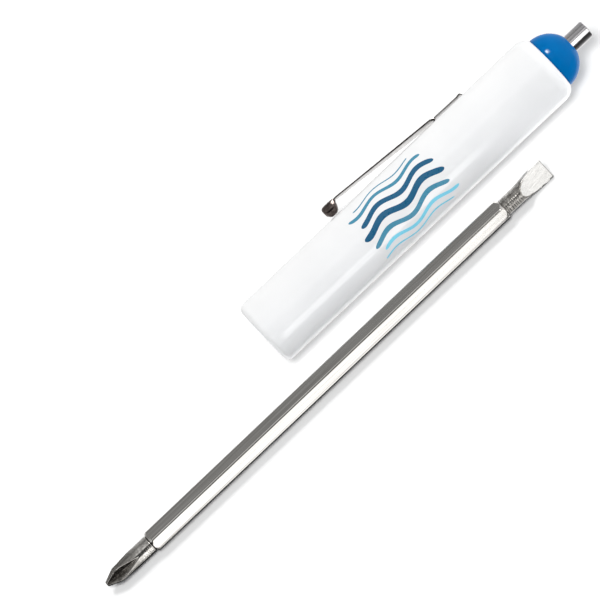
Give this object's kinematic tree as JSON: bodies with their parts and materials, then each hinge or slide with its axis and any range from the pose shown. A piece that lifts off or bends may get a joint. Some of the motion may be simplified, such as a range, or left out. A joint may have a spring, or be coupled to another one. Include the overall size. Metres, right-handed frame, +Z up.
{
  "type": "pocket screwdriver",
  "caption": "Pocket screwdriver: white moulded handle with a steel clip, blue domed cap and magnet post, and a reversible hexagon blade with a cross tip and a slotted tip.",
  "frame": {"origin": "middle of the base of the box that holds the handle and the blade as they lie side by side, on the table", "axes": "+X along the handle towards its cap, +Y across the table towards the clip's side, +Z up"},
  "size_m": [0.1566, 0.0291, 0.0163],
  "materials": {
    "white_plastic": "smooth glossy moulding",
    "blue_plastic": "smooth glossy moulding",
    "magnet_metal": "nickel plated, lightly scuffed",
    "clip_steel": "bright plated spring steel",
    "blade_steel": "nickel plated, satin"
  },
  "bodies": {
    "handle": {"barrel": "white_plastic", "end_cap": "blue_plastic", "pickup_magnet": "magnet_metal"},
    "clip": {"pocket_clip": "clip_steel"},
    "blade": {"blade": "blade_steel"}
  },
  "joints": [
    {"name": "clip_flex", "type": "hinge", "parent": "handle", "child": "clip", "pos_m": [0.0487, 0.01155, 0.01124], "axis": [0, 0.3584, -0.9336], "range_deg": [0, 5], "stiffness_Nm_per_rad": 0.35},
    {"name": "blade_slide", "type": "slide", "parent": "handle", "child": "blade", "axis": [-1, 0, 0], "range_m": [0, 0.072]}
  ]
}
